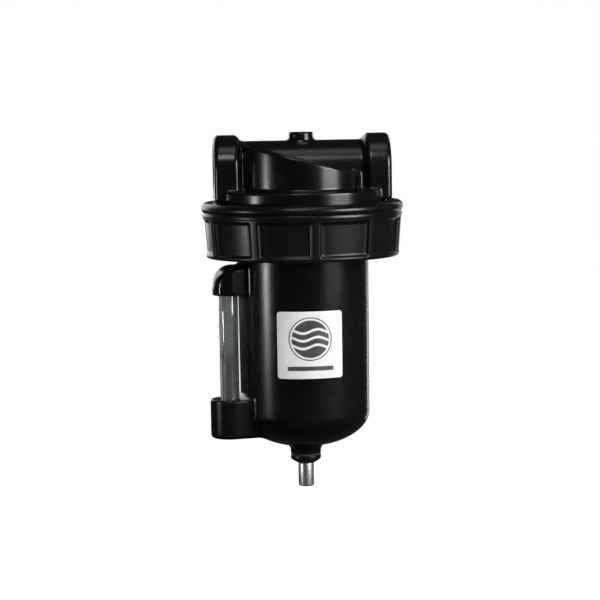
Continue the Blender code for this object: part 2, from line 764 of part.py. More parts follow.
def make_label():
    """A thin plate wrapped round the front of the bowl, with rounded corners."""
    inner = BOWL_RADIUS + LABEL_GAP
    columns, corner_steps = 12, 3
    half = LABEL_SIDE / 2
    middle = LABEL_TOP - half
    # Each column is (distance round the bowl, half height), from one side to the other.
    corner = []
    for i in range(corner_steps + 1):
        turn = pi / 2 * i / corner_steps
        corner.append((LABEL_CORNER * (1 - cos(turn)) - half, half - LABEL_CORNER * (1 - sin(turn))))
    span = LABEL_SIDE - 2 * LABEL_CORNER
    straight = [(span * (i / columns - 0.5), half) for i in range(1, columns)]
    sections = []
    for s, h in corner + straight + [(-s, h) for s, h in reversed(corner)]:
        angle = LABEL_ANGLE + s / BOWL_RADIUS
        section = []
        for radius, z in (
            (inner, middle - h),
            (inner + LABEL_THICKNESS, middle - h),
            (inner + LABEL_THICKNESS, middle + h),
            (inner, middle + h),
        ):
            section.append((radius * cos(angle), radius * sin(angle), z))
        sections.append(section)
    return finish(sweep("label", sections), "label", "label")


def make_louver(top):
    """The ring of slanting vanes that sets the air spinning."""
    foot = top - LOUVER_HEIGHT
    bore = PASSAGE_RADIUS
    louver = revolve(
        "hub",
        [(bore, foot), (LOUVER_HUB_RADIUS, foot), (LOUVER_HUB_RADIUS, top), (bore, top)],
        MEDIUM,
    )
    rim = revolve(
        "rim",
        [
            (LOUVER_RADIUS - LOUVER_RIM, foot + 0.001),
            (LOUVER_RADIUS, foot + 0.001),
            (LOUVER_RADIUS, top - 0.002),
            (LOUVER_RADIUS - LOUVER_RIM, top - 0.002),
        ],
        MEDIUM,
    )
    vanes = []
    for angle in stations(VANE_COUNT):
        half_height = (LOUVER_HEIGHT - 0.005) / 2
        lean = half_height * tan(VANE_LEAN)
        middle = foot + LOUVER_HEIGHT / 2 - 0.0005
        half = VANE_THICKNESS / 2 / cos(VANE_LEAN)
        section = [(-lean - half, -half_height), (-lean + half, -half_height), (lean + half, half_height)]
        section.append((lean - half, half_height))
        ends = (LOUVER_HUB_RADIUS - 0.0012, LOUVER_RADIUS - LOUVER_RIM / 2)
        vane = sweep("vane", [[(x, y, middle + z) for y, z in section] for x in ends])
        vanes.append(placed(vane, Matrix.Rotation(angle, 4, "Z")))
    ring = join(rim, *vanes)
    trim = revolve(
        "trim",
        [
            (LOUVER_HUB_RADIUS - 0.0015, foot + 0.0005),
            (LOUVER_RADIUS - SEAL_GAP, foot + 0.0005),
            (LOUVER_RADIUS - SEAL_GAP, top - 0.001),
            (LOUVER_HUB_RADIUS - 0.0015, top - 0.001),
        ],
        MEDIUM,
    )
    join(louver, keep_common(ring, trim))
    return finish(louver, "louver", "white_plastic")


def washer(name, inner, outer, foot, thickness, material_name, count=COARSE):
    outline = [(inner, foot), (outer, foot), (outer, foot + thickness), (inner, foot + thickness)]
    return finish(revolve(name, outline, count), name, material_name)


def make_baffle(top):
    """The disc with a turned-down skirt that keeps the water below it still."""
    hub = 0.0085
    bore = ROD_RADIUS + 0.0004
    foot = top - BAFFLE_THICKNESS
    slope = 0.0030
    baffle = revolve(
        "baffle",
        [
            (bore, top),
            (ELEMENT_RADIUS + 0.001, top),
            (BAFFLE_RADIUS, top - slope),
            (BAFFLE_RADIUS, top - slope - BAFFLE_SKIRT),
            (BAFFLE_RADIUS - BAFFLE_THICKNESS, top - slope - BAFFLE_SKIRT),
            (BAFFLE_RADIUS - BAFFLE_THICKNESS, top - slope - BAFFLE_THICKNESS),
            (ELEMENT_RADIUS, foot),
            (hub, foot),
            (hub, foot - 0.0025),
            (bore, foot - 0.0025),
        ],
        MEDIUM,
    )
    rib_half = 0.0007
    for angle in stations(BAFFLE_RIBS):
        ends = (hub - 0.001, BAFFLE_RADIUS - BAFFLE_THICKNESS / 2)
        rib = box("rib", ends, (-rib_half, rib_half), (foot - 0.0020, foot + 0.0005))
        # The outer end drops with the brim.
        for vertex in rib.data.vertices:
            if vertex.co.x > ELEMENT_RADIUS:
                vertex.co.z -= slope
        join(baffle, placed(rib, Matrix.Rotation(angle, 4, "Z")))
    return finish(baffle, "baffle", "white_plastic")


def make_nut(top):
    corner = NUT_FLAT_RADIUS / cos(pi / 6)
    bore = ROD_RADIUS + SEAL_GAP
    foot = top - NUT_HEIGHT
    nut = revolve("nut", [(0.0, foot), (corner, foot), (corner, top), (0.0, top)], 6)
    chamfer = revolve(
        "chamfer",
        [
            (0.0, foot - 0.0001),
            (NUT_FLAT_RADIUS, foot - 0.0001),
            (corner + 0.0002, foot + 0.0006),
            (corner + 0.0002, top - 0.0006),
            (NUT_FLAT_RADIUS, top + 0.0001),
            (0.0, top + 0.0001),
        ],
        COARSE,
    )
    keep_common(nut, chamfer)
    cut(nut, cylinder("bore", bore, foot - 0.001, top + 0.001, SMALL))
    return finish(nut, "baffle_nut", "steel")


def make_element_stack():
    """From the head down: seal, louver, gasket, element, gasket, baffle, washer and nut, all on one rod."""
    gap = SEAL_GAP
    level = OUTLET_TUBE_FOOT - gap - GASKET_THICKNESS
    washer("louver_gasket", PASSAGE_RADIUS, OUTLET_TUBE_RADIUS, level, GASKET_THICKNESS, "rubber", MEDIUM)
    level -= gap
    make_louver(level)
    level -= LOUVER_HEIGHT + gap + GASKET_THICKNESS
    gasket_inner = ELEMENT_RADIUS - ELEMENT_WALL
    hub_outer = LOUVER_HUB_RADIUS
    washer("element_gasket_top", gasket_inner, hub_outer, level, GASKET_THICKNESS, "rubber", MEDIUM)
    level -= gap
    outline = [
        (gasket_inner, level - ELEMENT_LENGTH),
        (ELEMENT_RADIUS, level - ELEMENT_LENGTH),
        (ELEMENT_RADIUS, level),
        (gasket_inner, level),
    ]
    finish(revolve("element", outline, FINE), "filter_element", "white_element")
    level -= ELEMENT_LENGTH + gap + GASKET_THICKNESS
    washer("element_gasket_bottom", gasket_inner, ELEMENT_RADIUS, level, GASKET_THICKNESS, "rubber", MEDIUM)
    level -= gap
    make_baffle(level)
    level -= BAFFLE_THICKNESS + 0.0025 + gap + WASHER_THICKNESS
    washer("baffle_washer", ROD_RADIUS + gap, WASHER_RADIUS, level, WASHER_THICKNESS, "steel")
    level -= gap
    make_nut(level)
    rod_top = TOP_BOSS_TOP - 0.004 - TOUCH_GAP
    rod_foot = level - NUT_HEIGHT - 0.0025
    chamfer = 0.0006
    rod = revolve(
        "rod",
        [
            (0.0, rod_foot),
            (ROD_RADIUS - chamfer, rod_foot),
            (ROD_RADIUS, rod_foot + chamfer),
            (ROD_RADIUS, rod_top),
            (0.0, rod_top),
        ],
        SMALL,
    )
    finish(rod, "tie_rod", "steel")


def make_drain():
    """The drain: a gland screwed into the bowl, and a hollow stem that lowers a rubber seal off its seat."""
    washer_top = DRAIN_BOSS_FOOT - SEAL_GAP
    washer(
        "drain_washer",
        GLAND_THREAD_RADIUS + SEAL_GAP,
        DRAIN_BOSS_RADIUS - 0.0003,
        washer_top - DRAIN_WASHER_THICKNESS,
        DRAIN_WASHER_THICKNESS,
        "fibre",
        MEDIUM,
    )
    collar_top = washer_top - DRAIN_WASHER_THICKNESS - SEAL_GAP
    bore = GLAND_BORE_RADIUS
    gland = revolve(
        "gland",
        [
            (bore, GLAND_TOP),
            (GLAND_THREAD_RADIUS, GLAND_TOP),
            (GLAND_THREAD_RADIUS, collar_top),
            (GLAND_RADIUS, collar_top),
            (GLAND_RADIUS, GLAND_FOOT + GLAND_CHAMFER),
            (GLAND_RADIUS - 0.0014, GLAND_FOOT + 0.45 * GLAND_CHAMFER),
            (STEM_RADIUS + 0.0008, GLAND_FOOT),
            (bore, GLAND_FOOT),
        ],
        COARSE,
    )
    finish(gland, "drain_gland", "black_nylon")
    seal_foot = SEAT_FOOT - SEAL_GAP - DRAIN_SEAL_THICKNESS
    cone = 0.0008
    seal = revolve(
        "seal",
        [
            (0.0, seal_foot),
            (DRAIN_SEAL_RADIUS, seal_foot),
            (DRAIN_SEAL_RADIUS, seal_foot + DRAIN_SEAL_THICKNESS),
            (SEAT_HOLE_RADIUS - 0.0004, seal_foot + DRAIN_SEAL_THICKNESS),
            (SEAT_HOLE_RADIUS - 0.0012, seal_foot + DRAIN_SEAL_THICKNESS + cone),
            (0.0, seal_foot + DRAIN_SEAL_THICKNESS + cone),
        ],
        COARSE,
    )
    finish(seal, "drain_seal", "rubber")
    make_stem(seal_foot - SEAL_GAP)


def make_stem(shank_top):
    head_top = GLAND_FOOT - TOUCH_GAP
    groove_level = GLAND_FOOT + 0.0045
    groove_half = STEM_SEAL_SECTION / 2 + SEAL_GAP
    groove_radius = SHANK_RADIUS - STEM_SEAL_SECTION + SEAL_GAP
    bore_top = shank_top - 0.0010
    stem = revolve(
        "stem",
        [
            (0.0, shank_top),
            (SHANK_RADIUS, shank_top),
            (SHANK_RADIUS, groove_level + groove_half),
            (groove_radius, groove_level + groove_half),
            (groove_radius, groove_level - groove_half),
            (SHANK_RADIUS, groove_level - groove_half),
            (SHANK_RADIUS, head_top),
            (STEM_RADIUS - 0.0003, head_top),
            (STEM_RADIUS, head_top - 0.0003),
            (STEM_RADIUS, STEM_FOOT + STEM_CHAMFER),
            (STEM_RADIUS - STEM_CHAMFER, STEM_FOOT),
            (STEM_BORE_RADIUS, STEM_FOOT),
            (STEM_BORE_RADIUS, bore_top),
            (0.0, bore_top),
        ],
        COARSE,
    )
    reach = SHANK_RADIUS + 0.001
    cross_hole = along_x(cylinder("cross", CROSS_HOLE_RADIUS, -reach, reach, 12))
    cut(stem, placed(cross_hole, Matrix.Translation((0.0, 0.0, bore_top - 1.5 * CROSS_HOLE_RADIUS))))
    finish(stem, "drain_stem", "nickel")
    ring_radius = groove_radius + STEM_SEAL_SECTION / 2
    finish(torus("seal", ring_radius, STEM_SEAL_SECTION, groove_level, COARSE), "stem_oring", "rubber")


def main():
    clear_scene()
    make_head()
    make_clamp_ring()
    make_bowl()
    make_bowl_seal()
    make_sight_glass()
    make_label()
    make_element_stack()
    make_drain()


main()
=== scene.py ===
"""Looks for the compressed air filter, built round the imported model. Metres, +Z up, the label faces -Y."""

import json
from math import acos, cos, pi, radians, sin, sqrt, tan, tau

import bmesh
import bpy
import numpy as np
from mathutils import Matrix, Vector


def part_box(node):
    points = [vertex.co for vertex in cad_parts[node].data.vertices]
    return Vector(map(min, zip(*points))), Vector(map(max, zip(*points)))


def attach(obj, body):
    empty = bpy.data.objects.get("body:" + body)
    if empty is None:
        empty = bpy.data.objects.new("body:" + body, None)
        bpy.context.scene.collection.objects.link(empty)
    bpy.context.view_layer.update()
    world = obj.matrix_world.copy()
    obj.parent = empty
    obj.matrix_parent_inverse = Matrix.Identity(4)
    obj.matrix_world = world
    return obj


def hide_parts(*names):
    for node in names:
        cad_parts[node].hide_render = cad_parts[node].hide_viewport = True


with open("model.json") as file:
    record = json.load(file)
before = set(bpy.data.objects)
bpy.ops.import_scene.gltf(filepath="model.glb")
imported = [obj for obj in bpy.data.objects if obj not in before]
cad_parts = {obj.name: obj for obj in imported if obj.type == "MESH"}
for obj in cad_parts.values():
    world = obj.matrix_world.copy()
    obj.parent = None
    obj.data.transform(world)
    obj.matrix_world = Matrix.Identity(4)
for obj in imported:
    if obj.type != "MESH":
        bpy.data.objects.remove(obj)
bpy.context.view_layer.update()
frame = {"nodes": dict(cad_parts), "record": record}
NODES = frame["nodes"]

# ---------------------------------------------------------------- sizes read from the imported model


def low(node):
    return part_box(node)[0]


def high(node):
    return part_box(node)[1]


PORT_X = high("head_body").x
TOP_BOSS_TOP = high("head_body").z
RING_TOP = high("clamp_ring").z
RING_FOOT = low("clamp_ring").z
BEAD_RADIUS = high("clamp_ring").x
TUBE_CENTRE = (low("sight_tube") + high("sight_tube")) / 2
TUBE_RADIUS = (high("sight_tube").y - low("sight_tube").y) / 2
STEM_FOOT = low("drain_stem").z
STEM_RADIUS = high("drain_stem").x
GLAND_FOOT = low("drain_gland").z
GLAND_RADIUS = high("drain_gland").y
DRAIN_BOSS_FOOT = low("bowl").z
FLANGE_TOP = high("bowl").z
FLANGE_RADIUS = high("bowl").y
SKIRT_FOOT = FLANGE_TOP + 0.0003
CHAMBER_RADIUS = high("louver").x + 0.0006
OUTLET_TUBE_FOOT = high("louver_gasket").z + 0.0001
LABEL_LOW, LABEL_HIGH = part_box("label")

# Shape sizes that the boxes don't give, as modelled in the solid parts.
BOSS_RADIUS = 0.0218
BOSS_LENGTH = 0.0168
DUCT_RADIUS = 0.0177
PORT_BORE_RADIUS = 0.0155
PORT_DEPTH = 0.022
PASSAGE_RADIUS = 0.013
TOP_BOSS_RADIUS = 0.0082
CAST_WALL = 0.0042
DRUM_RADIUS = 0.0413
COLLAR_TOP = RING_TOP + 0.0076
ROOF_MIDDLE = 0.0055
ROOF_SLOPE = radians(14.5)
RIM_WIDTH = 0.0040
RIM_HEIGHT = 0.0018
CENTRE_HOLE_RADIUS = 0.0031
CENTRE_HOLE_ROOF = TOP_BOSS_TOP - 0.004
THREAD_RADIUS = 0.0545
THREAD_PITCH = 0.00635
THREAD_HEIGHT = 0.0017
RING_BORE_RADIUS = THREAD_RADIUS + THREAD_HEIGHT + 0.0005
BOWL_RADIUS = 0.0434
BOWL_DRAFT = radians(0.35)
BOWL_WALL = 0.0039
BOWL_STRAIGHT_END = -0.1620
DOME_DEPTH = 0.0235
DOME_WALL = 0.0035
SEAT_TOP = BOWL_STRAIGHT_END - DOME_DEPTH + 0.0092
SEAT_BOSS_RADIUS = 0.0100
DRAIN_HOLE_RADIUS = 0.0030
DRAIN_BOSS_RADIUS = 0.0102
GLAND_THREAD_RADIUS = 0.0070
GLAND_BORE_ROOF = SEAT_TOP - 0.0033
ORING_GROOVE_RADIUS = 0.0480
ORING_GROOVE_WIDTH = 0.0026
ORING_GROOVE_DEPTH = 0.0022
SIGHT_ANGLE = radians(196.0)
SIGHT_OFFSET = 0.0524
HOOD_RADIUS = 0.0109
HOOD_FOOT = -0.0824
HOOD_TOP = RING_FOOT - 0.0043
HOOD_ROUNDING = 0.0160
HOOD_START = 0.030
BLOCK_RADIUS = 0.0130
BLOCK_TOP = -0.1509
BLOCK_FOOT = BLOCK_TOP - 0.0258
BLOCK_START = 0.020
SOCKET_PLAY = 0.0004
SOCKET_ROOF = HOOD_TOP - 0.0080
SOCKET_FLOOR = BLOCK_TOP - 0.0055
RIB_COUNT = 10
RIB_PHASE = radians(22.0)
BEAD_HEIGHT = 0.0074
LABEL_ANGLE = radians(-88.4)
LABEL_CORNER = 0.0020
LABEL_THICKNESS = 0.00033

HEAD_VOXEL = 0.00075
BOWL_VOXEL = 0.0008
WELD_GAP = 0.00001

# ---------------------------------------------------------------- materials


class Shader:
    """A material's node tree, with short calls to add and join nodes."""

    def __init__(self, name):
        self.material = bpy.data.materials.new(name)
        self.material.use_nodes = True
        self.tree = self.material.node_tree
        self.bsdf = self.tree.nodes["Principled BSDF"]
        self.coords = self.add("ShaderNodeTexCoord")

    def add(self, kind, **settings):
        node = self.tree.nodes.new(kind)
        for key, value in settings.items():
            setattr(node, key, value)
        return node

    def join(self, output, socket):
        self.tree.links.new(output, socket)

    def noise(self, scale, detail=4.0, roughness=0.55, stretch=None, distortion=0.0):
        node = self.add("ShaderNodeTexNoise")
        node.inputs["Scale"].default_value = scale
        node.inputs["Detail"].default_value = detail
        node.inputs["Roughness"].default_value = roughness
        node.inputs["Distortion"].default_value = distortion
        source = self.coords.outputs["Object"]
        if stretch:
            mapping = self.add("ShaderNodeMapping")
            mapping.inputs["Scale"].default_value = stretch
            self.join(source, mapping.inputs["Vector"])
            source = mapping.outputs["Vector"]
        self.join(source, node.inputs["Vector"])
        return node.outputs["Fac"]

    def beads(self, scale):
        node = self.add("ShaderNodeTexVoronoi", feature="F1")
        node.inputs["Scale"].default_value = scale
        self.join(self.coords.outputs["Object"], node.inputs["Vector"])
        return node.outputs["Distance"]

    def math(self, operation, a, b=0.5, c=0.5, clamp=False):
        node = self.add("ShaderNodeMath", operation=operation, use_clamp=clamp)
        for socket, value in zip(node.inputs, (a, b, c)):
            if isinstance(value, (int, float)):
                socket.default_value = value
            else:
                self.join(value, socket)
        return node.outputs[0]

    def ramp(self, value, low_value, high_value, low_out=0.0, high_out=1.0):
        node = self.add("ShaderNodeMapRange", interpolation_type="SMOOTHSTEP")
        for name, number in (
            ("From Min", low_value),
            ("From Max", high_value),
            ("To Min", low_out),
            ("To Max", high_out),
        ):
            node.inputs[name].default_value = number
        self.join(value, node.inputs["Value"])
        return node.outputs["Result"]

    def mix(self, factor, a, b):
        node = self.add("ShaderNodeMix", data_type="RGBA")
        if isinstance(factor, (int, float)):
            node.inputs["Factor"].default_value = factor
        else:
            self.join(factor, node.inputs["Factor"])
        sockets = [s for s in node.inputs if s.type == "RGBA"]
        for socket, value in zip(sockets, (a, b)):
            if isinstance(value, tuple):
                socket.default_value = (*value[:3], 1.0)
            else:
                self.join(value, socket)
        return [s for s in node.outputs if s.type == "RGBA"][0]

    def edges(self, low_value, high_value):
        node = self.add("ShaderNodeNewGeometry")
        return self.ramp(node.outputs["Pointiness"], low_value, high_value)

    def bump(self, *layers):
        """Each layer is (height, strength, distance)."""
        normal = None
        for height, strength, distance in layers:
            node = self.add("ShaderNodeBump")
            node.inputs["Strength"].default_value = strength
            node.inputs["Distance"].default_value = distance
            self.join(height, node.inputs["Height"])
            if normal:
                self.join(normal, node.inputs["Normal"])
            normal = node.outputs["Normal"]
        self.join(normal, self.bsdf.inputs["Normal"])

    def set(self, **values):
        for name, value in values.items():
            socket = self.bsdf.inputs[name.replace("_", " ")]
            if isinstance(value, (int, float)):
                socket.default_value = value
            elif isinstance(value, tuple):
                socket.default_value = (*value[:3], 1.0)
            else:
                self.join(value, socket)


def black_paint():
    """Semi-gloss enamel over a fine sand-like die casting, a little greyer and rubbed on its edges."""
    s = Shader("black_paint")
    cloud = s.noise(28.0, 5.0)
    grain = s.noise(1900.0, 3.0)
    peel = s.noise(420.0, 2.0)
    rub = s.math("MULTIPLY", s.edges(0.53, 0.60), s.ramp(s.noise(160.0, 6.0), 0.45, 0.68))
    dust = s.ramp(s.noise(70.0, 8.0, 0.65), 0.55, 0.80)
    base = s.mix(s.ramp(cloud, 0.3, 0.7), (0.0026, 0.0026, 0.0028), (0.0046, 0.0046, 0.0049))
    base = s.mix(s.math("MULTIPLY", dust, 0.08), base, (0.034, 0.033, 0.031))
    base = s.mix(s.math("MULTIPLY", rub, 0.35), base, (0.070, 0.070, 0.072))
    rough = s.ramp(cloud, 0.25, 0.75, 0.19, 0.25)
    rough = s.math("ADD", rough, s.math("MULTIPLY", dust, 0.06))
    s.set(Base_Color=base, Roughness=rough, Metallic=0.0, Specular_IOR_Level=0.30)
    s.bump((grain, 0.10, 0.00008), (peel, 0.10, 0.00025))
    return s.material


def black_nylon():
    """Glass-filled nylon: satin, with short fibres just under the skin."""
    s = Shader("black_nylon")
    cloud = s.noise(22.0, 5.0)
    grain = s.noise(2600.0, 2.0)
    fibre = s.noise(900.0, 3.0, 0.6, (1.0, 1.0, 0.25), 0.4)
    rub = s.math("MULTIPLY", s.edges(0.53, 0.60), s.ramp(s.noise(140.0, 6.0), 0.42, 0.66))
    base = s.mix(s.ramp(cloud, 0.3, 0.7), (0.0030, 0.0030, 0.0032), (0.0054, 0.0054, 0.0057))
    base = s.mix(s.math("MULTIPLY", s.ramp(fibre, 0.60, 0.72), 0.25), base, (0.034, 0.034, 0.035))
    base = s.mix(s.math("MULTIPLY", rub, 0.35), base, (0.060, 0.060, 0.061))
    rough = s.ramp(cloud, 0.25, 0.75, 0.26, 0.34)
    s.set(Base_Color=base, Roughness=rough, Specular_IOR_Level=0.30)
    s.bump((grain, 0.12, 0.00008), (fibre, 0.06, 0.00015))
    return s.material


def rubber():
    s = Shader("rubber")
    bloom = s.ramp(s.noise(60.0, 6.0), 0.35, 0.75)
    base = s.mix(s.math("MULTIPLY", bloom, 0.6), (0.016, 0.016, 0.016), (0.032, 0.031, 0.030))
    s.set(Base_Color=base, Roughness=s.ramp(bloom, 0.0, 1.0, 0.55, 0.78), Specular_IOR_Level=0.35)
    s.bump((s.noise(1500.0, 3.0), 0.2, 0.0001))
    return s.material


def white_plastic():
    s = Shader("white_plastic")
    cloud = s.noise(45.0, 5.0)
    flow = s.noise(160.0, 3.0, 0.5, (1.0, 1.0, 0.2))
    base = s.mix(s.ramp(cloud, 0.3, 0.7), (0.68, 0.68, 0.65), (0.76, 0.77, 0.75))
    s.set(Base_Color=base, Roughness=s.ramp(cloud, 0.3, 0.7, 0.34, 0.46), Subsurface_Weight=0.08)
    s.bsdf.inputs["Subsurface Radius"].default_value = (0.002, 0.002, 0.0015)
    s.bump((flow, 0.08, 0.0002), (s.noise(1800.0, 2.0), 0.08, 0.00006))
    return s.material


def white_element():
    """Sintered beads, with painted shade darkening the gaps between them."""
    s = Shader("white_element")
    beads = s.beads(2100.0)
    cloud = s.noise(55.0, 5.0)
    base = s.mix(s.ramp(cloud, 0.3, 0.7), (0.74, 0.73, 0.68), (0.84, 0.83, 0.79))
    # Painted shade: the colour darkens towards each bead's edge, in the gaps where shade falls between
    # beads.
    base = s.mix(s.ramp(beads, 0.35, 0.8), base, (0.50, 0.49, 0.45))
    s.set(Base_Color=base, Roughness=s.ramp(cloud, 0.3, 0.7, 0.82, 0.95), Specular_IOR_Level=0.3)
    s.bump((s.math("SUBTRACT", 1.0, beads), 0.55, 0.0003))
    return s.material


def dark_fibre():
    s = Shader("dark_fibre")
    fibre = s.noise(700.0, 5.0, 0.6, (1.0, 1.0, 4.0))
    base = s.mix(s.ramp(fibre, 0.35, 0.7), (0.022, 0.021, 0.019), (0.050, 0.046, 0.041))
    s.set(Base_Color=base, Roughness=s.ramp(fibre, 0.3, 0.7, 0.66, 0.82))
    s.bump((fibre, 0.3, 0.0001))
    return s.material


def turned_metal(name, tint, rough_low, rough_high):
    """Turned metal under a thin dull plate, with tool marks running round it."""
    s = Shader(name)
    cloud = s.noise(120.0, 5.0)
    marks = s.noise(260.0, 3.0, 0.6, (0.15, 0.15, 22.0))
    tarnish = s.ramp(s.noise(210.0, 7.0, 0.65), 0.50, 0.80)
    dark = tuple(0.62 * channel for channel in tint)
    base = s.mix(s.ramp(cloud, 0.3, 0.7), tuple(0.88 * channel for channel in tint), tint)
    base = s.mix(s.math("MULTIPLY", tarnish, 0.55), base, dark)
    rough = s.ramp(marks, 0.3, 0.7, rough_low, rough_high)
    rough = s.math("ADD", rough, s.math("MULTIPLY", tarnish, 0.10))
    s.set(Base_Color=base, Roughness=rough, Metallic=1.0)
    s.bump((marks, 0.18, 0.00012), (s.noise(1600.0, 3.0), 0.08, 0.00005))
    return s.material


def sight_glass():
    s = Shader("sight_glass")
    film = s.noise(90.0, 6.0, 0.6, (1.0, 1.0, 0.35))
    tint = s.mix(s.ramp(film, 0.35, 0.7), (0.34, 0.355, 0.36), (0.24, 0.255, 0.26))
    s.set(Base_Color=tint, Roughness=s.ramp(film, 0.35, 0.75, 0.05, 0.16), Transmission_Weight=0.80)
    s.set(IOR=1.47)
    s.bump((film, 0.05, 0.0003))
    return s.material


def label_film():
    """Satin film printed with a disc of air streams over a plain bar."""
    s = Shader("label_film")
    u = s.add("ShaderNodeAttribute", attribute_name="label_u").outputs["Fac"]
    v = s.add("ShaderNodeAttribute", attribute_name="label_v").outputs["Fac"]
    soft = 0.00010

    def inside(value, limit):
        return s.ramp(value, limit - soft, limit + soft, 1.0, 0.0)

    def both(a, b):
        return s.math("MULTIPLY", a, b)

    def band(value, centre, half):
        return inside(s.math("ABSOLUTE", s.math("SUBTRACT", value, centre)), half)

    # A disc 24 mm across, crossed by three rising streams left in the film's own colour.
    up = s.math("SUBTRACT", v, 0.0040)
    radius = s.math("SQRT", s.math("ADD", s.math("MULTIPLY", u, u), s.math("MULTIPLY", up, up)))
    disc = inside(radius, 0.0122)
    wave = s.math("MULTIPLY", s.math("SINE", s.math("MULTIPLY", u, 330.0)), 0.0013)
    level = s.math("SUBTRACT", up, wave)
    streams = band(level, 0.0050, 0.00085)
    for centre in (0.0, -0.0050):
        streams = s.math("MAXIMUM", streams, band(level, centre, 0.00085))
    mark = both(disc, s.math("SUBTRACT", 1.0, streams))
    mark = s.math("MAXIMUM", mark, band(radius, 0.0138, 0.00035))
    # A plain bar below it.
    mark = s.math("MAXIMUM", mark, both(band(v, -0.0152, 0.0014), band(u, 0.0, 0.0150)))
    cloud = s.noise(60.0, 5.0)
    film = s.mix(s.ramp(cloud, 0.3, 0.7), (0.82, 0.825, 0.82), (0.88, 0.885, 0.88))
    ink = s.mix(s.ramp(s.noise(240.0, 5.0), 0.35, 0.7), (0.055, 0.056, 0.060), (0.085, 0.086, 0.090))
    s.set(Base_Color=s.mix(mark, film, ink), Roughness=s.ramp(cloud, 0.3, 0.7, 0.32, 0.44))
    s.bump((s.noise(1200.0, 2.0), 0.06, 0.00005))
    return s.material


MATERIALS = {
    "black_paint": black_paint(),
    "black_nylon": black_nylon(),
    "rubber": rubber(),
    "white_plastic": white_plastic(),
    "white_element": white_element(),
    "dark_fibre": dark_fibre(),
    "zinc_steel": turned_metal("zinc_steel", (0.60, 0.61, 0.62), 0.26, 0.40),
    "nickel_plate": turned_metal("nickel_plate", (0.80, 0.79, 0.76), 0.28, 0.42),
    "sight_glass": sight_glass(),
    "label_film": label_film(),
}

# ---------------------------------------------------------------- mesh helpers


def add_piece(name, mesh, body, slot, replaced=()):
    obj = bpy.data.objects.new(name, mesh)
    bpy.context.scene.collection.objects.link(obj)
    mesh.materials.clear()
    mesh.materials.append(MATERIALS[slot])
    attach(obj, body)
    if replaced:
        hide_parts(*replaced)
    return obj


def mesh_from(name, vertices, faces, smooth_angle=radians(32)):
    mesh = bpy.data.meshes.new(name)
    mesh.from_pydata([tuple(v) for v in vertices], [], faces)
    work = bmesh.new()
    work.from_mesh(mesh)
    bmesh.ops.recalc_face_normals(work, faces=work.faces)
    work.to_mesh(mesh)
    work.free()
    mesh.shade_smooth()
    mesh.set_sharp_from_angle(angle=smooth_angle)
    return mesh


def rounded(points, radii, steps=4):
    """A closed outline with its corners rounded. A radius of 0 leaves a corner sharp."""
    out = []
    count = len(points)
    for i, (point, radius) in enumerate(zip(points, radii)):
        here = Vector(point)
        if radius <= 0:
            out.append(tuple(here))
            continue
        before = (Vector(points[i - 1]) - here).normalized()
        after = (Vector(points[(i + 1) % count]) - here).normalized()
        half = acos(max(-1.0, min(1.0, before.dot(after)))) / 2
        reach = radius / tan(half)
        centre = here + (before + after).normalized() * (radius / sin(half))
        start = here + before * reach - centre
        end = here + after * reach - centre
        for k in range(steps + 1):
            t = k / steps
            arm = start.slerp(end, t, start) if start.length > 0 else start
            out.append(tuple(centre + arm.normalized() * radius))
    return out


def revolve(name, profile, count, centre=(0.0, 0.0), smooth_angle=radians(32)):
    """Turns a closed (radius, z) outline about a vertical line."""
    vertices, rows, faces = [], [], []
    for radius, z in profile:
        start = len(vertices)
        if radius < 1e-9:
            vertices.append((centre[0], centre[1], z))
            rows.append([start] * count)
            continue
        for i in range(count):
            a = tau * i / count
            vertices.append((centre[0] + radius * cos(a), centre[1] + radius * sin(a), z))
        rows.append(list(range(start, start + count)))
    for row, following in zip(rows, rows[1:] + rows[:1]):
        for i in range(count):
            j = (i + 1) % count
            corners = list(dict.fromkeys((row[i], row[j], following[j], following[i])))
            if len(corners) > 2:
                faces.append(corners)
    return mesh_from(name, vertices, faces, smooth_angle)


def voxel_copy(node, voxel, squeeze=None):
    """A dense, even copy of a solid part, ready to be fitted to a smooth shape."""
    mesh = NODES[node].data.copy()
    work = bmesh.new()
    work.from_mesh(mesh)
    bmesh.ops.remove_doubles(work, verts=work.verts, dist=WELD_GAP)
    if squeeze:
        for vertex in work.verts:
            vertex.co = squeeze(vertex.co)
    work.to_mesh(mesh)
    work.free()
    obj = bpy.data.objects.new("dense", mesh)
    bpy.context.scene.collection.objects.link(obj)
    modifier = obj.modifiers.new("voxels", "REMESH")
    modifier.mode = "VOXEL"
    modifier.voxel_size = voxel
    modifier.adaptivity = 0.0
    graph = bpy.context.evaluated_depsgraph_get()
    dense = bpy.data.meshes.new_from_object(obj.evaluated_get(graph))
    bpy.data.objects.remove(obj, do_unlink=True)
    return dense


def gradient(field, points, step=0.00002):
    columns = []
    for axis in range(3):
        offset = np.zeros(3)
        offset[axis] = step
        columns.append((field(points + offset) - field(points - offset)) / (2 * step))
    return np.stack(columns, axis=1)


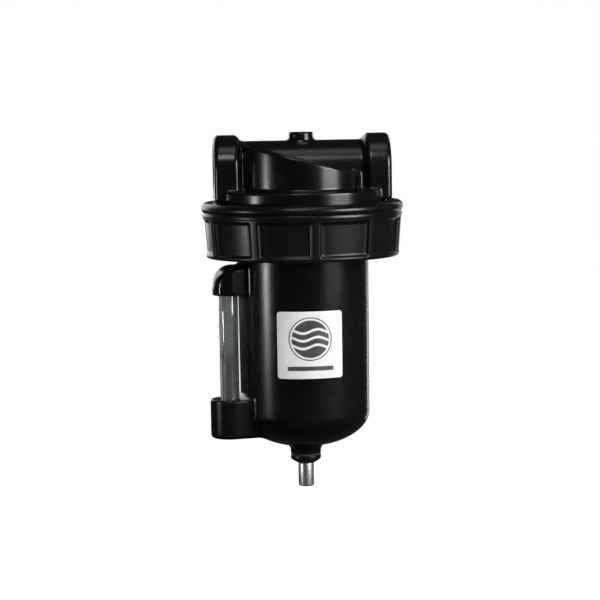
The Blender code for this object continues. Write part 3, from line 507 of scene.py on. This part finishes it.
def fit(mesh, field, rounds=7, reach=0.0006, relax=0.5):
    """Moves a dense mesh onto the surface where field is zero, evening out its corners as it goes."""
    count = len(mesh.vertices)
    points = np.zeros(count * 3)
    mesh.vertices.foreach_get("co", points)
    points = points.reshape(-1, 3)
    edges = np.zeros(len(mesh.edges) * 2, dtype=np.int64)
    mesh.edges.foreach_get("vertices", edges)
    edges = edges.reshape(-1, 2)
    degree = np.bincount(edges.ravel(), minlength=count)[:, None]
    for i in range(rounds):
        value = field(points)
        slope = gradient(field, points)
        size = np.maximum((slope**2).sum(1), 0.05)
        move = -value / size
        length = np.sqrt(size)
        move = np.clip(move * length, -reach, reach) / length
        points = points + slope * move[:, None]
        if i < rounds - 2:
            mean = np.zeros_like(points)
            np.add.at(mean, edges[:, 0], points[edges[:, 1]])
            np.add.at(mean, edges[:, 1], points[edges[:, 0]])
            shift = mean / degree - points
            normal = slope / np.sqrt((slope**2).sum(1) + 1e-12)[:, None]
            shift -= normal * (shift * normal).sum(1)[:, None]
            points = points + relax * shift
    mesh.vertices.foreach_set("co", points.astype(np.float32).ravel())
    mesh.update()
    mesh.shade_smooth()
    return mesh


# ---------------------------------------------------------------- smooth solid shapes, as distances


def blend_union(a, b, radius):
    """Both shapes, with a round fillet between them."""
    u = np.maximum(radius - a, 0.0)
    w = np.maximum(radius - b, 0.0)
    return np.maximum(radius, np.minimum(a, b)) - np.sqrt(u * u + w * w)


def overlap(a, b, radius):
    """What the shapes share, with its edge rounded."""
    return -blend_union(-a, -b, radius)


def without(a, b, radius):
    return overlap(a, -b, radius)


def slab(value, lowest, highest):
    return np.maximum(lowest - value, value - highest)


def arch_distance(p, radius):
    """A round-topped section about the port axis, straight-sided below it."""
    y = np.abs(p[:, 1])
    below = y - radius
    above = np.hypot(y, p[:, 2]) - radius
    return np.where(p[:, 2] > 0, above, below)


def head_field(p):
    x, y, z = p[:, 0], p[:, 1], p[:, 2]
    r = np.hypot(x, y)
    boss_foot = RING_TOP + 0.0007
    arch = arch_distance(p, BOSS_RADIUS)
    boss = overlap(arch, slab(np.abs(x), PORT_X - BOSS_LENGTH, PORT_X), 0.0034)
    boss = overlap(boss, boss_foot - z, 0.0022)
    duct = overlap(arch_distance(p, DUCT_RADIUS), np.abs(x) - PORT_X + BOSS_LENGTH - 0.0006, 0.0002)
    duct = overlap(duct, SKIRT_FOOT + 0.006 - z, 0.0005)
    roof = (z - (ROOF_MIDDLE - x * tan(ROOF_SLOPE))) * cos(ROOF_SLOPE)
    drum = overlap(r - DRUM_RADIUS, roof, 0.0011)
    recess = overlap(r - DRUM_RADIUS + RIM_WIDTH, -(roof + RIM_HEIGHT), 0.0006)
    drum = without(drum, recess, 0.0009)
    drum = overlap(drum, SKIRT_FOOT + 0.004 - z, 0.0005)
    skirt = overlap(r - THREAD_RADIUS, slab(z, SKIRT_FOOT, COLLAR_TOP), 0.0012)
    top = overlap(r - TOP_BOSS_RADIUS + 0.0002, z - TOP_BOSS_TOP, 0.0011)
    top = overlap(top, 0.002 - z, 0.0003)
    shape = blend_union(duct, boss, 0.0032)
    shape = blend_union(shape, top, 0.0026)
    shape = blend_union(shape, drum, 0.0024)
    shape = blend_union(shape, skirt, 0.0016)
    # The air chamber round the outlet tube, the passages and the ports.
    tube_radius = PASSAGE_RADIUS + CAST_WALL
    tube = overlap(r - tube_radius, OUTLET_TUBE_FOOT - z, 0.0006)
    along = overlap(np.hypot(y, z) - tube_radius, -x, 0.0005)
    core = blend_union(tube, along, 0.0015)
    chamber = overlap(r - CHAMBER_RADIUS, roof + CAST_WALL + RIM_HEIGHT, 0.0012)
    chamber = without(chamber, core, 0.0012)
    shape = without(shape, chamber, 0.0006)
    lane = np.hypot(y, z) - PASSAGE_RADIUS
    inlet = overlap(lane, x + tube_radius + 0.0015, 0.0003)
    outlet = overlap(lane, -x, 0.0003)
    drop = overlap(r - PASSAGE_RADIUS, z - PASSAGE_RADIUS + 0.003, 0.0003)
    shape = without(shape, blend_union(outlet, drop, 0.0015), 0.0007)
    shape = without(shape, inlet, 0.0010)
    port = overlap(np.hypot(y, z) - PORT_BORE_RADIUS, PORT_X - PORT_DEPTH - np.abs(x), 0.0004)
    shape = without(shape, port, 0.0009)
    return without(shape, np.maximum(r - CENTRE_HOLE_RADIUS, z - CENTRE_HOLE_ROOF), 0.0003)


def dome_distance(r, z, radius, depth):
    """About how far a point lies outside an upside-down round-ended bowl."""
    level = BOWL_STRAIGHT_END
    side = r - (radius + (z - level) * tan(BOWL_DRAFT))
    drop = np.minimum(z - level, 0.0)
    k0 = np.sqrt((r / radius) ** 2 + (drop / depth) ** 2)
    k1 = np.sqrt((r / radius**2) ** 2 + (drop / depth**2) ** 2) + 1e-9
    return np.where(z > level, side, k0 * (k0 - 1.0) / k1)


def sight_section(p, radius):
    u = p[:, 0] * cos(SIGHT_ANGLE) + p[:, 1] * sin(SIGHT_ANGLE)
    v = -p[:, 0] * sin(SIGHT_ANGLE) + p[:, 1] * cos(SIGHT_ANGLE)
    return np.where(u > SIGHT_OFFSET, np.hypot(u - SIGHT_OFFSET, v), np.abs(v)) - radius, u


def bowl_field(p):
    x, y, z = p[:, 0], p[:, 1], p[:, 2]
    r = np.hypot(x, y)
    end_radius = BOWL_RADIUS - (RING_FOOT - BOWL_STRAIGHT_END) * tan(BOWL_DRAFT)
    outer = dome_distance(r, z, end_radius, DOME_DEPTH)
    outer = overlap(outer, z - FLANGE_TOP, 0.0002)
    flange_foot = FLANGE_TOP - 0.0060
    flange = overlap(r - FLANGE_RADIUS, slab(z, flange_foot, FLANGE_TOP), 0.0009)
    boss = overlap(r - DRAIN_BOSS_RADIUS, slab(z, DRAIN_BOSS_FOOT, BOWL_STRAIGHT_END - 0.010), 0.0004)
    hood, u = sight_section(p, HOOD_RADIUS)
    outermost = SIGHT_OFFSET + HOOD_RADIUS
    side = overlap(u - outermost, z - HOOD_TOP, HOOD_ROUNDING)
    hood = overlap(hood, side, 0.0030)
    hood = overlap(hood, HOOD_FOOT - z, 0.0009)
    hood = np.maximum(hood, HOOD_START - u)
    block, u = sight_section(p, BLOCK_RADIUS)
    block = overlap(block, BLOCK_FOOT - z, 0.0026)
    block = overlap(block, z - BLOCK_TOP, 0.0010)
    block = np.maximum(block, BLOCK_START - u)
    shape = blend_union(outer, boss, 0.0034)
    shape = blend_union(shape, hood, 0.0026)
    shape = blend_union(shape, block, 0.0034)
    shape = blend_union(shape, flange, 0.0006)
    inner = dome_distance(r, z, end_radius - BOWL_WALL, DOME_DEPTH - DOME_WALL)
    inner_boss = overlap(r - SEAT_BOSS_RADIUS, z - SEAT_TOP, 0.0008)
    inner = without(inner, inner_boss, 0.0015)
    shape = without(shape, inner, 0.0008)
    shape = without(shape, r - DRAIN_HOLE_RADIUS, 0.0003)
    gland_bore = overlap(r - GLAND_THREAD_RADIUS - 0.0001, z - GLAND_BORE_ROOF, 0.0002)
    shape = without(shape, gland_bore, 0.0004)
    across = np.abs(r - ORING_GROOVE_RADIUS) - ORING_GROOVE_WIDTH / 2
    groove = overlap(across, FLANGE_TOP - ORING_GROOVE_DEPTH - z, 0.0002)
    shape = without(shape, groove, 0.0003)
    away = np.hypot(x - TUBE_CENTRE.x, y - TUBE_CENTRE.y) - TUBE_RADIUS - SOCKET_PLAY
    for lowest, highest in ((HOOD_FOOT - 0.01, SOCKET_ROOF), (SOCKET_FLOOR, BLOCK_TOP + 0.01)):
        shape = without(shape, overlap(away, slab(z, lowest, highest), 0.0003), 0.0005)
    return shape


def make_head():
    def squeeze(co):
        """Presses the plain thread of the solid part back to its skirt."""
        r = sqrt(co.x**2 + co.y**2)
        if r > THREAD_RADIUS + 0.00005 and co.z < RING_TOP - 0.0013:
            return Vector((co.x * THREAD_RADIUS / r, co.y * THREAD_RADIUS / r, co.z))
        return co

    dense = fit(voxel_copy("head_body", HEAD_VOXEL, squeeze), head_field)
    dense.name = "head_casting"
    return add_piece("head_casting", dense, "head", "black_paint", ("head_body",))


def make_bowl():
    dense = fit(voxel_copy("bowl", BOWL_VOXEL), bowl_field)
    dense.name = "bowl_casting"
    return add_piece("bowl_casting", dense, "bowl_body", "black_paint", ("bowl",))


def smoothstep(value, low_value, high_value):
    t = min(1.0, max(0.0, (value - low_value) / (high_value - low_value)))
    return t * t * (3 - 2 * t)


def make_ring():
    """The clamp ring, with a round bead, a thin line under it and shallow round-edged pockets."""
    bead_foot = RING_TOP - BEAD_HEIGHT
    rib_half = radians(2.1)
    flank = radians(1.5)
    pitch = tau / RIB_COUNT
    depth = 0.0016
    top_radius, foot_radius = 0.0660, 0.0637
    pocket_top, pocket_foot = bead_foot - 0.0034, RING_FOOT + 0.0024
    lip_radius = BOWL_RADIUS + 0.0012
    lip_top = RING_FOOT + 0.0063
    # Each point of the outline is (radius, z, how much of the pocket's depth it takes).
    outline = []
    half_bead = BEAD_HEIGHT / 2
    centre_r, centre_z = BEAD_RADIUS - half_bead, RING_TOP - half_bead
    for k in range(13):
        turn = radians(95) - radians(145) * k / 12
        outline.append((centre_r + half_bead * cos(turn), centre_z + half_bead * sin(turn), 0.0))
    # A thin raised line runs round under the bead.
    line = bead_foot - 0.0012
    outline += [
        (top_radius - 0.0003, bead_foot + 0.0001, 0.0),
        (top_radius - 0.0003, line + 0.0006, 0.0),
        (top_radius + 0.0001, line + 0.0003, 0.0),
        (top_radius + 0.0001, line - 0.0004, 0.0),
        (top_radius - 0.0002, line - 0.0008, 0.0),
    ]
    start = line - 0.0012
    span = start - (RING_FOOT + 0.0012)
    for k in range(33):
        z = start - span * k / 32
        share = (bead_foot - z) / (bead_foot - RING_FOOT)
        inside = smoothstep(pocket_top - z, 0.0, 0.0013) * smoothstep(z - pocket_foot, 0.0, 0.0016)
        outline.append((top_radius + (foot_radius - top_radius) * share, z, inside))
    edge = 0.0014
    for k in range(5):
        turn = -radians(90) * (k + 1) / 5
        outline.append((foot_radius - edge + edge * cos(turn), RING_FOOT + edge + edge * sin(turn), 0.0))
    inner = rounded(
        [
            (lip_radius, RING_FOOT),
            (lip_radius, lip_top),
            (RING_BORE_RADIUS, lip_top),
            (RING_BORE_RADIUS, RING_TOP),
            (centre_r - 0.001, RING_TOP),
        ],
        [0.0010, 0.0004, 0.0006, 0.0008, 0.0],
        3,
    )
    outline += [(radius, z, 0.0) for radius, z in inner]
    # Each angle goes with how far the pocket is open there, from 0 on a rib to 1.
    angles = []
    near = [-1.0, -0.8, -0.6, -0.4, -0.2, 0.0]
    for k in range(RIB_COUNT):
        middle = RIB_PHASE + k * pitch
        angles += [(middle - rib_half + t * flank, smoothstep(-t, 0.0, 1.0)) for t in near]
        angles += [(middle - rib_half * 0.4, 0.0), (middle + rib_half * 0.4, 0.0)]
        angles += [(middle + rib_half - t * flank, smoothstep(-t, 0.0, 1.0)) for t in reversed(near)]
        left = pitch - 2 * (rib_half + flank)
        angles += [(middle + rib_half + flank + left * j / 13, 1.0) for j in range(1, 13)]
    vertices, faces = [], []
    for angle, open_share in angles:
        for radius, z, inside in outline:
            reach = radius - depth * inside * open_share
            vertices.append((reach * cos(angle), reach * sin(angle), z))
    count = len(outline)
    for i in range(len(angles)):
        j = (i + 1) % len(angles)
        for k in range(count):
            m = (k + 1) % count
            faces.append([i * count + k, i * count + m, j * count + m, j * count + k])
    mesh = mesh_from("clamp_ring_shell", vertices, faces, radians(50))
    return add_piece("clamp_ring_shell", mesh, "ring_body", "black_nylon", ("clamp_ring",))


def helix(name, wall_radius, height, foot, inward, body, slot):
    """A thread ridge with rounded crests, sunk a little into its wall."""
    turns, per_turn, fade, sunk = 2, 96, 10, 0.0006
    steps = turns * per_turn
    side = -1.0 if inward else 1.0
    # The ridge's section as (offset along the axis, share of its height), where None is the sunk foot.
    half = [(0.00055, 1.0), (0.0009, 0.86), (0.0015, None)]
    section = [(-offset, share) for offset, share in reversed(half)] + half
    vertices, faces = [], []
    for i in range(steps + 1):
        angle = tau * i / per_turn
        z = foot + THREAD_PITCH * i / per_turn
        shown = min(1.0, i / fade, (steps - i) / fade)
        for offset, share in section:
            radius = wall_radius + side * (-sunk if share is None else height * share * shown)
            vertices.append((radius * cos(angle), radius * sin(angle), z + offset))
    count = len(section)
    for i in range(steps):
        for k in range(count):
            m = (k + 1) % count
            faces.append([i * count + k, i * count + m, (i + 1) * count + m, (i + 1) * count + k])
    faces.append(list(range(count)))
    faces.append(list(range(steps * count, steps * count + count)))
    return add_piece(name, mesh_from(name, vertices, faces, radians(40)), body, slot)


def make_threads():
    foot = SKIRT_FOOT + 0.0030
    helix("head_thread", THREAD_RADIUS, THREAD_HEIGHT, foot, False, "head", "black_paint")
    foot += THREAD_PITCH / 2
    helix("ring_thread", RING_BORE_RADIUS, 0.0016, foot, True, "ring_body", "black_nylon")


def make_port_threads():
    """Fine ridges inside each port, where the pipe screws in."""
    pitch, rings = 0.00221, 8
    start = PORT_X - 0.0016
    end = start - rings * pitch
    valley, crest, buried = PORT_BORE_RADIUS + 0.0003, PORT_BORE_RADIUS - 0.0010, PORT_BORE_RADIUS + 0.0010
    profile = []
    for i in range(rings):
        x = start - i * pitch
        profile += [(valley, x), (crest, x - pitch / 2)]
    profile += [(valley, end), (buried, end), (buried, start)]
    for side, name in ((-1, "inlet_thread"), (1, "outlet_thread")):
        mesh = revolve(name, profile, 96, smooth_angle=radians(25))
        mesh.transform(Matrix.Rotation(side * pi / 2, 4, "Y"))
        add_piece(name, mesh, "head", "black_paint")


def make_tube():
    foot, top = low("sight_tube").z, high("sight_tube").z
    inner = TUBE_RADIUS - 0.0018
    points = [(inner, foot), (TUBE_RADIUS, foot), (TUBE_RADIUS, top), (inner, top)]
    profile = rounded(points, [0.0003] * 4, 3)
    mesh = revolve("sight_glass_tube", profile, 72, (TUBE_CENTRE.x, TUBE_CENTRE.y), radians(50))
    return add_piece("sight_glass_tube", mesh, "bowl_body", "sight_glass", ("sight_tube",))


def make_label():
    """The film, with slightly soft edges, carrying its own flat coordinates for the print."""
    half = (LABEL_HIGH.z - LABEL_LOW.z) / 2
    middle_z = (LABEL_LOW.z + LABEL_HIGH.z) / 2
    inner = BOWL_RADIUS + 0.00012
    outer = inner + LABEL_THICKNESS
    edge_drop = 0.00012
    grid = 56
    vertices, flat = [], []
    steps = [half * (2 * i / grid - 1) for i in range(grid + 1)]

    def squeeze(u, v):
        """Keeps a point inside the rounded square."""
        limit = half - LABEL_CORNER
        du, dv = abs(u) - limit, abs(v) - limit
        if du > 0 and dv > 0:
            length = sqrt(du * du + dv * dv)
            if length > LABEL_CORNER:
                du, dv = du * LABEL_CORNER / length, dv * LABEL_CORNER / length
            u = (limit + du) * (1 if u > 0 else -1)
            v = (limit + dv) * (1 if v > 0 else -1)
        return u, v

    index = {}
    for i, u0 in enumerate(steps):
        for j, v0 in enumerate(steps):
            u, v = squeeze(u0, v0)
            edge = i in (0, grid) or j in (0, grid)
            angle = LABEL_ANGLE + u / BOWL_RADIUS
            for layer, radius in enumerate((inner, outer - (edge_drop if edge else 0.0))):
                index[i, j, layer] = len(vertices)
                vertices.append((radius * cos(angle), radius * sin(angle), middle_z + v))
                flat.append((u, v))
    faces = []
    for layer in (0, 1):
        for i in range(grid):
            for j in range(grid):
                corners = ((i, j), (i + 1, j), (i + 1, j + 1), (i, j + 1))
                faces.append([index[(*corner, layer)] for corner in corners])
    rim = [(i, 0) for i in range(grid)] + [(grid, j) for j in range(grid)]
    rim += [(i, grid) for i in range(grid, 0, -1)] + [(0, j) for j in range(grid, 0, -1)]
    for a, b in zip(rim, rim[1:] + rim[:1]):
        faces.append([index[(*a, 0)], index[(*b, 0)], index[(*b, 1)], index[(*a, 1)]])
    mesh = mesh_from("label_plate", vertices, faces, radians(40))
    for name, column in (("label_u", 0), ("label_v", 1)):
        attribute = mesh.attributes.new(name, "FLOAT", "POINT")
        attribute.data.foreach_set("value", [pair[column] for pair in flat])
    return add_piece("label_plate", mesh, "bowl_body", "label_film", ("label",))


def make_drain_parts():
    bore = 0.00425
    collar_top = low("drain_washer").z - 0.0001
    gland_top = high("drain_gland").z
    points = [
        (bore, gland_top),
        (GLAND_THREAD_RADIUS, gland_top),
        (GLAND_THREAD_RADIUS, collar_top),
        (GLAND_RADIUS, collar_top),
        (GLAND_RADIUS, GLAND_FOOT + 0.0026),
        (STEM_RADIUS + 0.0008, GLAND_FOOT),
        (bore, GLAND_FOOT),
    ]
    profile = rounded(points, [0.0002, 0.0005, 0.0002, 0.0004, 0.0012, 0.0006, 0.0002], 4)
    mesh = revolve("drain_collar", profile, 96, smooth_angle=radians(40))
    add_piece("drain_collar", mesh, "bowl_body", "black_nylon", ("drain_gland",))
    shank_top = high("drain_stem").z
    head_top = GLAND_FOOT - 0.0003
    groove_foot, groove_top = GLAND_FOOT + 0.0045 - 0.00065, GLAND_FOOT + 0.0045 + 0.00065
    hole_roof = shank_top - 0.0010
    shank, groove, hole = 0.0040, 0.0030, 0.0020
    points = [
        (0.0, shank_top),
        (shank, shank_top),
        (shank, groove_top),
        (groove, groove_top),
        (groove, groove_foot),
        (shank, groove_foot),
        (shank, head_top),
        (STEM_RADIUS, head_top),
        (STEM_RADIUS, STEM_FOOT),
        (hole, STEM_FOOT),
        (hole, hole_roof),
        (0.0, hole_roof),
    ]
    radii = [0.0, 0.0004, 0.0001, 0.0001, 0.0001, 0.0001, 0.0003, 0.0003, 0.0011, 0.0003, 0.0, 0.0]
    mesh = revolve("drain_spigot", rounded(points, radii, 5), 96, smooth_angle=radians(40))
    add_piece("drain_spigot", mesh, "stem_body", "nickel_plate", ("drain_stem",))


def finish_cad_nodes():
    """The solids that stay: their own finish, and soft edges."""
    slots = {entry["node"]: entry["material_slot"] for entry in frame["record"]["subparts"]}
    for name, obj in NODES.items():
        obj.data.materials.clear()
        obj.data.materials.append(MATERIALS[slots[name]])
        if obj.hide_render:
            continue
        weld = obj.modifiers.new("weld", "WELD")
        weld.merge_threshold = WELD_GAP
        if slots[name] in ("zinc_steel", "white_plastic"):
            bevel = obj.modifiers.new("bevel", "BEVEL")
            bevel.width = 0.00018
            bevel.segments = 2
            bevel.limit_method = "ANGLE"
            bevel.angle_limit = radians(40)


# ---------------------------------------------------------------- floor, light and camera


def area_light(name, azimuth, distance, height, width, tall, power, target_height):
    """A soft box aimed at the object's axis. Azimuth 0 is at -Y, the camera's usual side, and 90 at +X."""
    data = bpy.data.lights.new(name, "AREA")
    data.shape = "RECTANGLE"
    data.size = width
    data.size_y = tall
    data.energy = power
    obj = bpy.data.objects.new(name, data)
    bpy.context.scene.collection.objects.link(obj)
    a = radians(azimuth)
    obj.location = (distance * sin(a), -distance * cos(a), height)
    direction = Vector((0.0, 0.0, target_height)) - obj.location
    obj.rotation_mode = "QUATERNION"
    obj.rotation_quaternion = direction.to_track_quat("-Z", "Y")


def make_stage():
    """A white floor, well below the object, that lights nothing and isn't seen in reflections."""
    floor = bpy.data.meshes.new("floor")
    size, level = 14.0, -1.35
    count = 28
    vertices, faces = [], []
    for i in range(count + 1):
        for j in range(count + 1):
            x, y = size * (2 * i / count - 1), size * (2 * j / count - 1)
            vertices.append((x, y, level))
    for i in range(count):
        for j in range(count):
            a = i * (count + 1) + j
            faces.append([a, a + count + 1, a + count + 2, a + 1])
    floor.from_pydata(vertices, [], faces)
    obj = bpy.data.objects.new("floor", floor)
    bpy.context.scene.collection.objects.link(obj)
    s = Shader("floor_white")
    cloud = s.noise(0.8, 3.0)
    s.set(Base_Color=s.mix(s.ramp(cloud, 0.3, 0.7), (0.86, 0.86, 0.86), (0.90, 0.90, 0.90)), Roughness=0.9)
    s.set(Emission_Color=(1.0, 1.0, 1.0), Emission_Strength=1.0, Specular_IOR_Level=0.0)
    floor.materials.append(s.material)
    obj.visible_glossy = False
    obj.visible_diffuse = False


def make_world():
    """White behind the object, and only a little light from all round."""
    world = bpy.data.worlds.new("studio")
    bpy.context.scene.world = world
    world.use_nodes = True
    tree = world.node_tree
    background = tree.nodes["Background"]
    white = tree.nodes.new("ShaderNodeBackground")
    white.inputs["Color"].default_value = (1.0, 1.0, 1.0, 1.0)
    white.inputs["Strength"].default_value = 1.0
    background.inputs["Color"].default_value = (1.0, 1.0, 1.0, 1.0)
    background.inputs["Strength"].default_value = 0.04
    path = tree.nodes.new("ShaderNodeLightPath")
    mix = tree.nodes.new("ShaderNodeMixShader")
    tree.links.new(path.outputs["Is Camera Ray"], mix.inputs["Fac"])
    tree.links.new(background.outputs[0], mix.inputs[1])
    tree.links.new(white.outputs[0], mix.inputs[2])
    tree.links.new(mix.outputs[0], tree.nodes["World Output"].inputs["Surface"])


def make_lights():
    area_light("key_right", 50, 1.15, 0.19, 0.62, 0.50, 17.0, 0.02)
    area_light("strip_left", -71, 1.15, -0.14, 0.15, 0.16, 3.0, -0.10)
    area_light("rim_right", 150, 1.3, -0.05, 0.10, 1.00, 1.2, -0.08)
    area_light("back", 205, 1.4, 0.25, 0.9, 0.9, 5.0, -0.05)
    area_light("top", 20, 0.5, 1.25, 0.7, 0.5, 2.0, -0.05)
    area_light("front_fill", -8, 1.3, 1.15, 0.6, 0.4, 7.2, -0.12)


def make_camera():
    """The usual view: a little to the left of square on, and slightly above."""
    data = bpy.data.cameras.new("camera")
    camera = bpy.data.objects.new("camera", data)
    bpy.context.scene.collection.objects.link(camera)
    bpy.context.scene.camera = camera
    azimuth, elevation, distance = radians(-3.7), radians(5.5), 1.50
    roll = radians(-0.95)
    aim = Vector((-0.0023, 0.0, -0.0882))
    back = Vector((sin(azimuth) * cos(elevation), -cos(azimuth) * cos(elevation), sin(elevation)))
    camera.location = aim + back * distance
    turn = (-back).to_track_quat("-Z", "Y").to_matrix() @ Matrix.Rotation(roll, 3, "Z")
    camera.rotation_mode = "QUATERNION"
    camera.rotation_quaternion = turn.to_quaternion()
    data.sensor_width = 36.0
    data.lens = 135.6
    data.clip_start = 0.01
    data.clip_end = 60.0


bpy.context.scene.view_settings.view_transform = "Standard"
bpy.context.scene.view_settings.look = "None"
make_stage()
make_world()
make_lights()
make_camera()
make_head()
make_bowl()
make_ring()
make_threads()
make_port_threads()
make_tube()
make_label()
make_drain_parts()
finish_cad_nodes()
